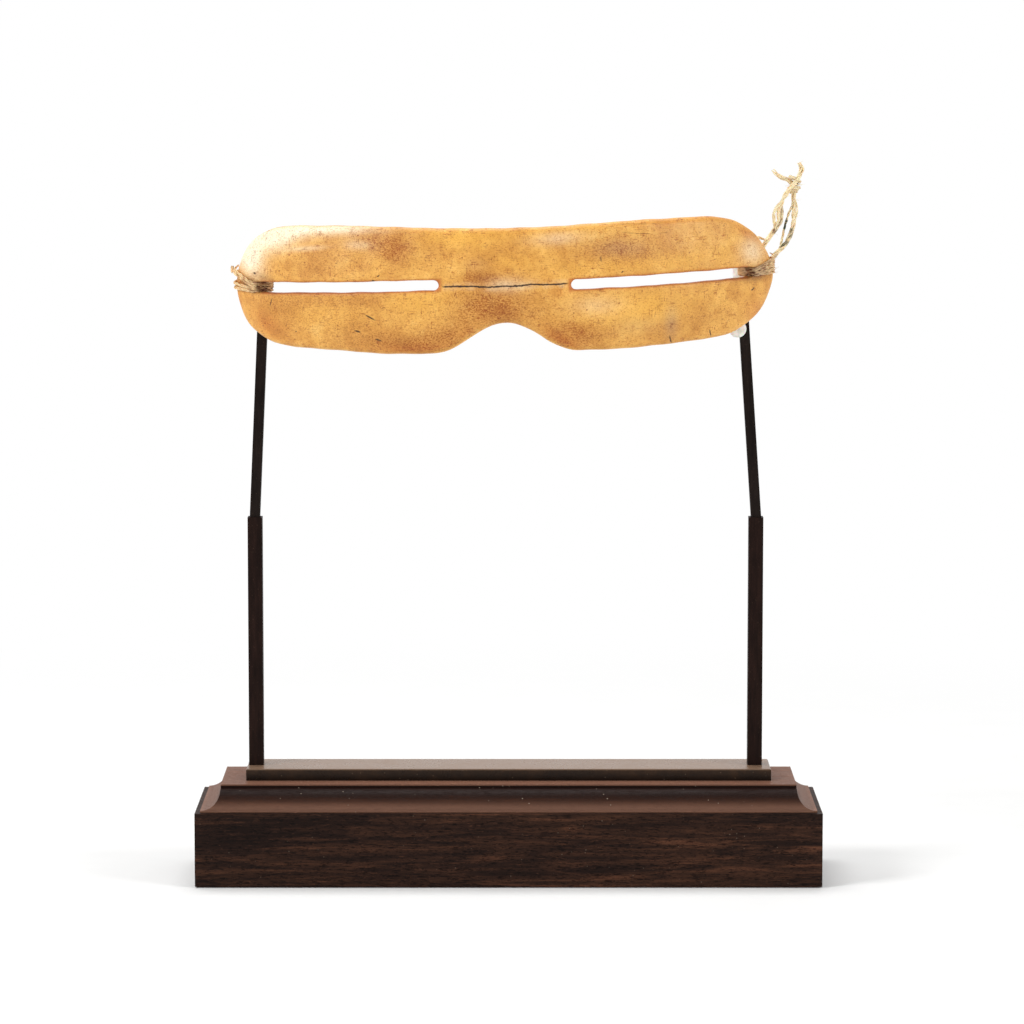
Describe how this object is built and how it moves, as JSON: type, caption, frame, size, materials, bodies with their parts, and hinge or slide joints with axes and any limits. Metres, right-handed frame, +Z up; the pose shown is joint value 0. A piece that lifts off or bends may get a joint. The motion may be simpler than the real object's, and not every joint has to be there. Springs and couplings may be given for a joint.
{
  "type": "snow goggles",
  "caption": "Carved ivory snow goggles with narrow eye slits and a nose notch, with sinew lashings and a knotted strap end, held on a wooden display stand by bent bars.",
  "frame": {"origin": "centre of the underside of the felt under the base", "axes": "+Z up, +X towards the end with the strap, to the viewer's right from the front, +Y to the back"},
  "size_m": [0.1572, 0.0539, 0.181],
  "materials": {
    "base_block": "satin",
    "base_felt": "matte",
    "post_plate": "satin",
    "plate_screws": "satin",
    "left_sleeve": "satin",
    "right_sleeve": "satin",
    "left_bar": "satin",
    "left_hook": "satin",
    "left_hook_tube": "satin",
    "left_rest_tube": "satin",
    "left_prong": "satin",
    "left_pad": "satin",
    "right_bar": "satin",
    "right_hook": "satin",
    "right_hook_tube": "satin",
    "right_rest_tube": "satin",
    "right_prong": "satin",
    "right_pad": "satin",
    "visor": "satin",
    "left_lashing": "matte",
    "right_lashing": "matte",
    "strap_cord_outer": "matte",
    "strap_cord_inner": "matte",
    "strap_knot": "matte"
  },
  "bodies": {
    "stand": {"base_block": "base_block", "base_felt": "base_felt", "post_plate": "post_plate", "plate_screws": "plate_screws", "left_sleeve": "left_sleeve", "right_sleeve": "right_sleeve"},
    "left_arm": {"left_bar": "left_bar", "left_hook": "left_hook", "left_hook_tube": "left_hook_tube", "left_rest_tube": "left_rest_tube", "left_prong": "left_prong", "left_pad": "left_pad"},
    "right_arm": {"right_bar": "right_bar", "right_hook": "right_hook", "right_hook_tube": "right_hook_tube", "right_rest_tube": "right_rest_tube", "right_prong": "right_prong", "right_pad": "right_pad"},
    "goggles": {"visor": "visor", "left_lashing": "left_lashing", "right_lashing": "right_lashing", "strap_cord_outer": "strap_cord_outer", "strap_cord_inner": "strap_cord_inner", "strap_knot": "strap_knot"}
  },
  "joints": [
    {"name": "left_lift", "type": "slide", "parent": "stand", "child": "left_arm", "axis": [0, 0, 1], "range_m": [0, 0.03]},
    {"name": "right_lift", "type": "slide", "parent": "stand", "child": "right_arm", "axis": [0, 0, 1], "range_m": [0, 0.03]},
    {"name": "goggles_off", "type": "slide", "parent": "left_arm", "child": "goggles", "axis": [0, -1, 0], "range_m": [0, 0.035]}
  ],
  "couplings": [
    {"joint": "right_lift", "follows": "left_lift", "ratio": 1}
  ]
}
